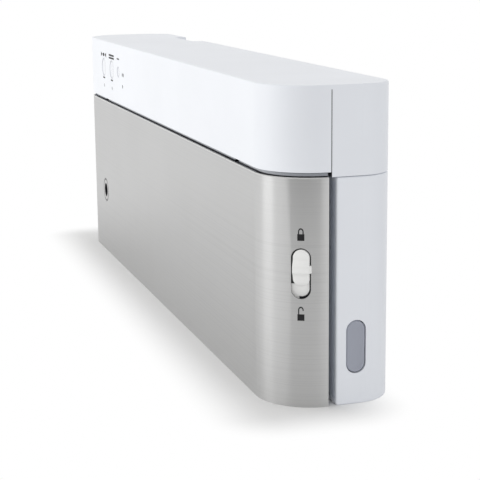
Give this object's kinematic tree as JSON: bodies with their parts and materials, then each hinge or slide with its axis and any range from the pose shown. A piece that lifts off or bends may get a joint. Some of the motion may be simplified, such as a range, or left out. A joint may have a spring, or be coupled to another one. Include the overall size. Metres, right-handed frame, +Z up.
{
  "type": "vacuum sealer",
  "caption": "Countertop vacuum sealer stored on edge: white casing, brushed steel hinged lid with latch slides and port, release buttons and a control panel.",
  "frame": {"origin": "centre of the footprint, on the surface that the sealer stands on", "axes": "+Z up as stored on edge, +X along the length, -Y out of the lid, so the feet of the lying use face +Y"},
  "size_m": [0.4222, 0.061, 0.146],
  "materials": {
    "white_casing": "smooth white ABS",
    "deck_plastic": "fine satin grey",
    "brushed_lid": "horizontal brushing",
    "frame_plastic": "satin dark grey",
    "port_plastic": "satin silver grey",
    "latch_plastic": "satin white",
    "release_plastic": "soft grey",
    "key_plastic": "smooth white ABS",
    "lens_plastic": "clear",
    "foam": "closed cell foam",
    "silicone": "soft silicone",
    "black_rubber": "matt",
    "steel": "zinc plated",
    "bar_plastic": "phenolic",
    "ribbon": "bare resistance ribbon",
    "tape": "brown glass cloth tape",
    "arm_plastic": "glass filled nylon",
    "pump_plastic": "moulded",
    "motor_can": "plated can",
    "core_steel": "laminations",
    "winding": "enamelled copper",
    "board": "solder mask",
    "switch_plastic": "moulded",
    "lamp": "diffused epoxy"
  },
  "bodies": {
    "housing": {"base_shell": "white_casing", "deck_plate": "deck_plastic", "rear_housing": "white_casing", "control_cover": "white_casing", "hinge_arm_left": "arm_plastic", "hinge_arm_right": "arm_plastic", "lower_gasket": "foam", "seal_bar": "bar_plastic", "heating_element": "ribbon", "ptfe_tape": "tape", "trough_nipple": "pump_plastic", "vacuum_hose": "silicone", "vacuum_pump": "pump_plastic", "pump_motor": "motor_can", "transformer_core": "core_steel", "transformer_coil": "winding", "control_board": "board", "tact_switches": "switch_plastic", "indicator_leds": "lamp", "indicator_lenses": "lens_plastic", "cord_tray": "white_casing", "cord_grommet": "black_rubber", "rubber_feet": "black_rubber", "rear_screws": "steel", "release_spring_left": "steel", "release_spring_right": "steel"},
    "lid": {"lid_panel": "brushed_lid", "lid_frame": "frame_plastic", "accessory_port": "port_plastic", "upper_gasket": "foam", "sealing_rubber": "silicone", "hinge_pin_left": "steel", "hinge_pin_right": "steel"},
    "latch_right": {"latch_slider_right": "latch_plastic"},
    "latch_left": {"latch_slider_left": "latch_plastic"},
    "release_right": {"release_button_right": "release_plastic"},
    "release_left": {"release_button_left": "release_plastic"},
    "vacuum_key": {"vacuum_button": "key_plastic"},
    "seal_key": {"seal_button": "key_plastic"},
    "mode_key": {"mode_button": "key_plastic"}
  },
  "joints": [
    {"name": "lid_hinge", "type": "hinge", "parent": "housing", "child": "lid", "pos_m": [0, -0.0265, 0.1015], "axis": [-1, 0, 0], "range_deg": [0, 75]},
    {"name": "latch_right_slide", "type": "slide", "parent": "lid", "child": "latch_right", "axis": [0, 0, -1], "range_m": [0, 0.005]},
    {"name": "release_right_press", "type": "slide", "parent": "housing", "child": "release_right", "axis": [-1, 0, 0], "range_m": [0, 0.0025], "stiffness_N_per_m": 800, "deforming": ["release_spring_right"]},
    {"name": "latch_left_slide", "type": "slide", "parent": "lid", "child": "latch_left", "axis": [0, 0, -1], "range_m": [0, 0.005]},
    {"name": "release_left_press", "type": "slide", "parent": "housing", "child": "release_left", "axis": [1, 0, 0], "range_m": [0, 0.0025], "stiffness_N_per_m": 800, "deforming": ["release_spring_left"]},
    {"name": "vacuum_key_press", "type": "slide", "parent": "housing", "child": "vacuum_key", "axis": [0, 1, 0], "range_m": [0, 0.0008], "stiffness_N_per_m": 1500},
    {"name": "seal_key_press", "type": "slide", "parent": "housing", "child": "seal_key", "axis": [0, 1, 0], "range_m": [0, 0.0008], "stiffness_N_per_m": 1500},
    {"name": "mode_key_press", "type": "slide", "parent": "housing", "child": "mode_key", "axis": [0, 1, 0], "range_m": [0, 0.0008], "stiffness_N_per_m": 1500}
  ]
}
